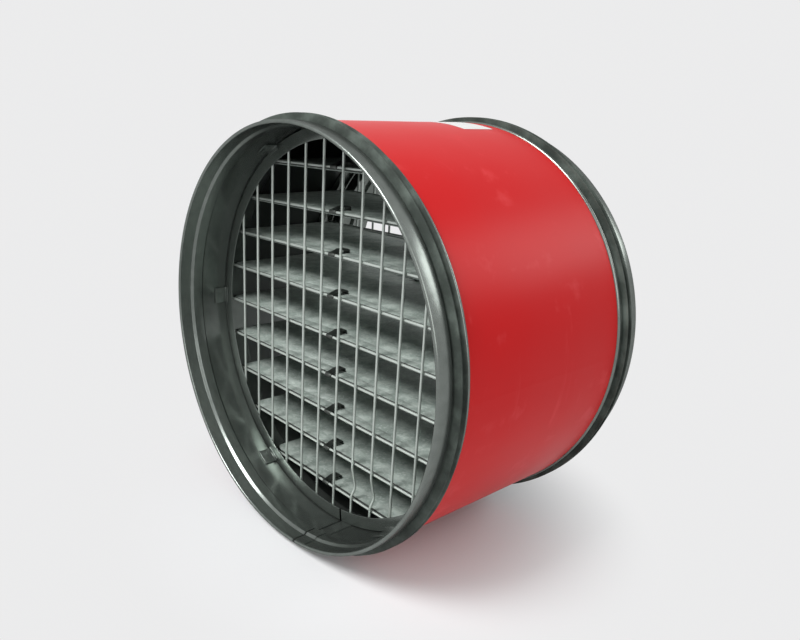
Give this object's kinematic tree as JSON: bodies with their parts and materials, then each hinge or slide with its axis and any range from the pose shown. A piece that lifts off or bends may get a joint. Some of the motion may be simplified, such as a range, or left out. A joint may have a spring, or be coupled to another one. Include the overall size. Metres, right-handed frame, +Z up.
{
  "type": "fire damper",
  "caption": "Round duct fire damper: red steel casing, galvanised spigots with rubber lip seals, wire grilles and fixed grey slats inside.",
  "frame": {"origin": "middle of the round casing, on the duct axis, halfway between the two lips", "axes": "+Y along the duct axis from the front end (the one with the bent wires) to the rear end, +X to the right seen from the front, +Z up across the slats"},
  "size_m": [0.3639, 0.238, 0.364],
  "materials": {
    "red_paint": "smooth satin paint",
    "galvanised_sheet": "bright rolled galvanised sheet",
    "wire": "galvanised wire",
    "tie_sheet": "thin galvanised strip",
    "seal_rubber": "matt moulded rubber",
    "slat_board": "dark grey coated board"
  },
  "bodies": {
    "root": {"casing": "red_paint", "front_spigot": "galvanised_sheet", "front_seam": "galvanised_sheet", "front_seal": "seal_rubber", "front_ring": "galvanised_sheet", "front_clips": "galvanised_sheet", "front_grille": "wire", "front_ties": "tie_sheet", "rear_spigot": "galvanised_sheet", "rear_seam": "galvanised_sheet", "rear_seal": "seal_rubber", "rear_ring": "galvanised_sheet", "rear_clips": "galvanised_sheet", "rear_grille": "wire", "rear_ties": "tie_sheet", "slat_1": "slat_board", "slat_2": "slat_board", "slat_3": "slat_board", "slat_4": "slat_board", "slat_5": "slat_board", "slat_6": "slat_board", "slat_7": "slat_board", "slat_8": "slat_board", "slat_9": "slat_board"}
  },
  "joints": []
}
